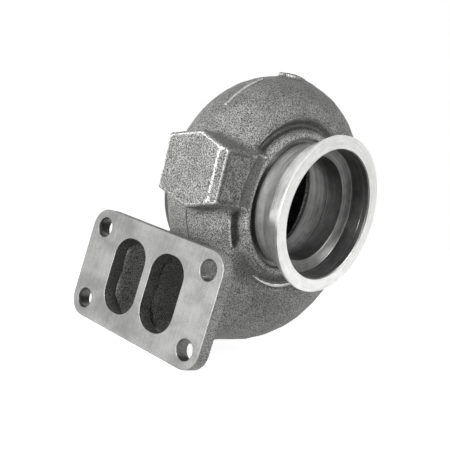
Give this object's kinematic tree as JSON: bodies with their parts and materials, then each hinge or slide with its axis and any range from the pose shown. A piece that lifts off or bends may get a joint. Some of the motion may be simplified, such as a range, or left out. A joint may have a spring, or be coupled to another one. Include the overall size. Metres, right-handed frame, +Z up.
{
  "type": "turbine housing",
  "caption": "Divided twin-scroll turbine housing in cast iron with a rectangular inlet flange, a clamp-flange outlet and a blank wastegate boss.",
  "frame": {"origin": "on the turbine axis in the plane of the outlet's clamp flange face", "axes": "+Y along the turbine axis from the outlet face to the bearing side; -X out of the inlet flange face; +Z up, along the inlet flange's short bolt spacing"},
  "size_m": [0.1915, 0.1252, 0.2008],
  "materials": {
    "cast_iron": "shot-blasted sand-cast skin, fine grain",
    "machined_iron": "ground flat, faint brushed streaks",
    "turned_iron": "turned bright, fine circular tool marks"
  },
  "bodies": {
    "root": {"inlet_flange": "machined_iron", "runner_front": "cast_iron", "runner_rear": "cast_iron", "throat_front": "cast_iron", "throat_rear": "cast_iron", "tongue_front": "cast_iron", "tongue_rear": "cast_iron", "runner_divider": "cast_iron", "scroll_front_lower": "cast_iron", "scroll_front_right": "cast_iron", "scroll_front_top": "cast_iron", "scroll_front_tail": "cast_iron", "scroll_rear_lower": "cast_iron", "scroll_rear_right": "cast_iron", "scroll_rear_top": "cast_iron", "scroll_rear_tail": "cast_iron", "scroll_divider": "cast_iron", "clamp_flange": "turned_iron", "outlet_neck": "turned_iron", "cast_collar": "cast_iron", "shroud_ring": "turned_iron", "nozzle_rear_ring": "turned_iron", "bearing_neck": "cast_iron", "bearing_flange": "turned_iron", "wastegate_boss": "cast_iron", "riser_pad": "cast_iron", "flash_strip": "cast_iron"}
  },
  "joints": []
}
